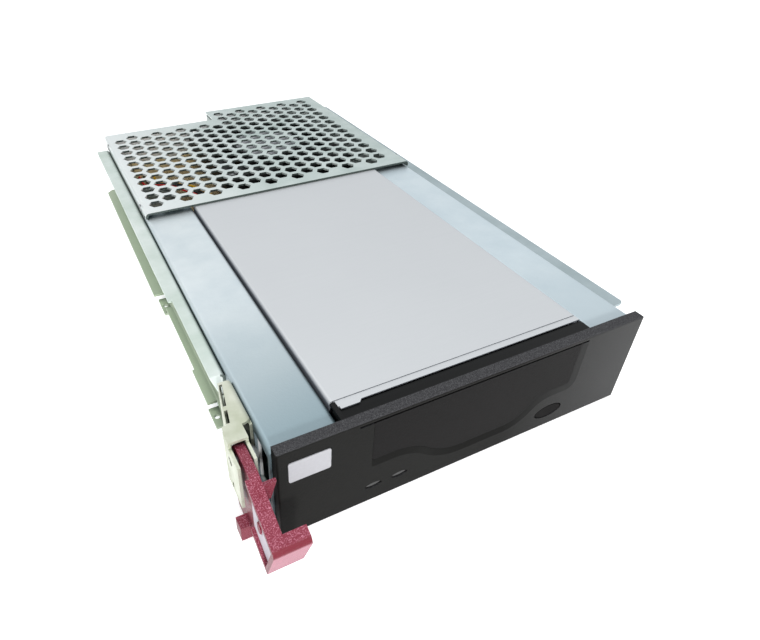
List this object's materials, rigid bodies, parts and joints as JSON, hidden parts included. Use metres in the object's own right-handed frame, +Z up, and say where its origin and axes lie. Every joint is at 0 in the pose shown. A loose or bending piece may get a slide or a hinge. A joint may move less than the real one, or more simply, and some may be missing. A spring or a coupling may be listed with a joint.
{
  "type": "tape drive array module",
  "caption": "Hot-plug sheet-metal tray module with a half-height tape drive, wavy-edged hinged door, perforated fan cover, side runners and a moulded ejector lever.",
  "frame": {"origin": "centre of the tray's flat underside", "axes": "+Z up, +Y from the bezel to the rear connector, +X to the right seen from the front"},
  "size_m": [0.1689, 0.3147, 0.0415],
  "materials": {
    "zinc_tray": "zinc-plated sheet, satin",
    "zinc_runner": "zinc-plated sheet, satin, pale",
    "zinc_bracket": "blue-passivated zinc sheet, mottled",
    "zinc_cover": "zinc-plated perforated sheet, greenish sheen",
    "zinc_latch": "yellow-passivated zinc sheet, grainy",
    "steel_fastener": "plated steel",
    "drive_shell": "die-cast and pressed, satin",
    "lid_silver": "satin pressed sheet",
    "moulding_black": "black moulded plastic",
    "bezel_charcoal": "charcoal, fine moulded grain",
    "door_dark": "dark brown-black, fine moulded grain",
    "button_dark": "charcoal, smooth",
    "badge_pale": "pale bare plate",
    "window_smoke": "smoked clear plastic",
    "light_body": "diffused resin",
    "board_green": "glass-epoxy board",
    "switch_black": "moulded",
    "lever_burgundy": "burgundy, moulded grain",
    "label_pale": "pale bare label",
    "deck_steel": "pressed steel",
    "reel_white": "moulded acetal",
    "drum_metal": "turned, polished",
    "cage_steel": "pressed spring steel",
    "connector_black": "moulded",
    "connector_beige": "moulded, beige",
    "plug_white": "moulded nylon",
    "ribbon_tan": "flat cable, ribbed",
    "wire_red": "insulated wire",
    "wire_yellow": "insulated wire",
    "wire_black": "insulated wire",
    "fan_black": "moulded",
    "fan_label_grey": "bare disc label"
  },
  "bodies": {
    "chassis": {"tray_pan": "zinc_tray", "left_runner": "zinc_runner", "right_runner": "zinc_runner", "left_bracket": "zinc_bracket", "right_bracket": "zinc_bracket", "rear_cover": "zinc_cover", "runner_rivets": "steel_fastener", "cover_screws": "steel_fastener", "drive_frame": "drive_shell", "drive_screws": "steel_fastener", "drive_lid": "lid_silver", "front_moulding": "moulding_black", "front_bezel": "bezel_charcoal", "badge_plate": "badge_pale", "light_windows": "window_smoke", "status_lights": "light_body", "front_board": "board_green", "eject_switch": "switch_black", "latch_bracket": "zinc_latch", "latch_rivets": "steel_fastener", "lever_pin": "steel_fastener", "mechanism_deck": "deck_steel", "main_board": "board_green", "drum_base": "drum_metal", "data_socket": "connector_black", "power_socket": "plug_white", "ribbon_plug": "connector_black", "ribbon_cable": "ribbon_tan", "power_plug": "plug_white", "power_wire_red": "wire_red", "power_wires_black": "wire_black", "power_wire_yellow": "wire_yellow", "fan_frame": "fan_black", "fan_label": "fan_label_grey", "fan_screws": "steel_fastener", "front_fan_cradle": "zinc_tray", "rear_fan_cradle": "zinc_tray", "rear_connector": "connector_beige"},
    "door": {"tape_door": "door_dark"},
    "button": {"eject_button": "button_dark"},
    "lever": {"ejector_lever": "lever_burgundy", "lever_label": "label_pale"},
    "supply_reel": {"supply_reel_table": "reel_white"},
    "takeup_reel": {"takeup_reel_table": "reel_white"},
    "drum": {"head_drum": "drum_metal"},
    "cage": {"cartridge_cage": "cage_steel"},
    "rotor": {"fan_rotor": "fan_black"}
  },
  "joints": [
    {"name": "door_swing", "type": "hinge", "parent": "chassis", "child": "door", "pos_m": [0.0015, -0.1475, 0.0378], "axis": [1, 0, 0], "range_deg": [0, 72]},
    {"name": "button_press", "type": "slide", "parent": "chassis", "child": "button", "axis": [0, 1, 0], "range_m": [0, 0.0012], "stiffness_N_per_m": 400},
    {"name": "lever_swing", "type": "hinge", "parent": "chassis", "child": "lever", "pos_m": [-0.0818, -0.1377, 0.0317], "axis": [-1, 0, 0], "range_deg": [0, 45]},
    {"name": "supply_reel_spin", "type": "hinge", "parent": "chassis", "child": "supply_reel", "pos_m": [-0.0135, -0.0833, 0.012], "axis": [0, 0, 1], "continuous": true},
    {"name": "takeup_reel_spin", "type": "hinge", "parent": "chassis", "child": "takeup_reel", "pos_m": [0.0165, -0.0833, 0.012], "axis": [0, 0, 1], "continuous": true},
    {"name": "drum_spin", "type": "hinge", "parent": "chassis", "child": "drum", "pos_m": [0.0015, -0.0213, 0.0096], "axis": [0, 0.1045, 0.9945], "continuous": true},
    {"name": "cage_lower", "type": "slide", "parent": "chassis", "child": "cage", "axis": [0, 0, -1], "range_m": [0, 0.006]},
    {"name": "fan_spin", "type": "hinge", "parent": "chassis", "child": "rotor", "pos_m": [0.0154, 0.0823, 0.03], "axis": [0, 0, 1], "continuous": true}
  ]
}
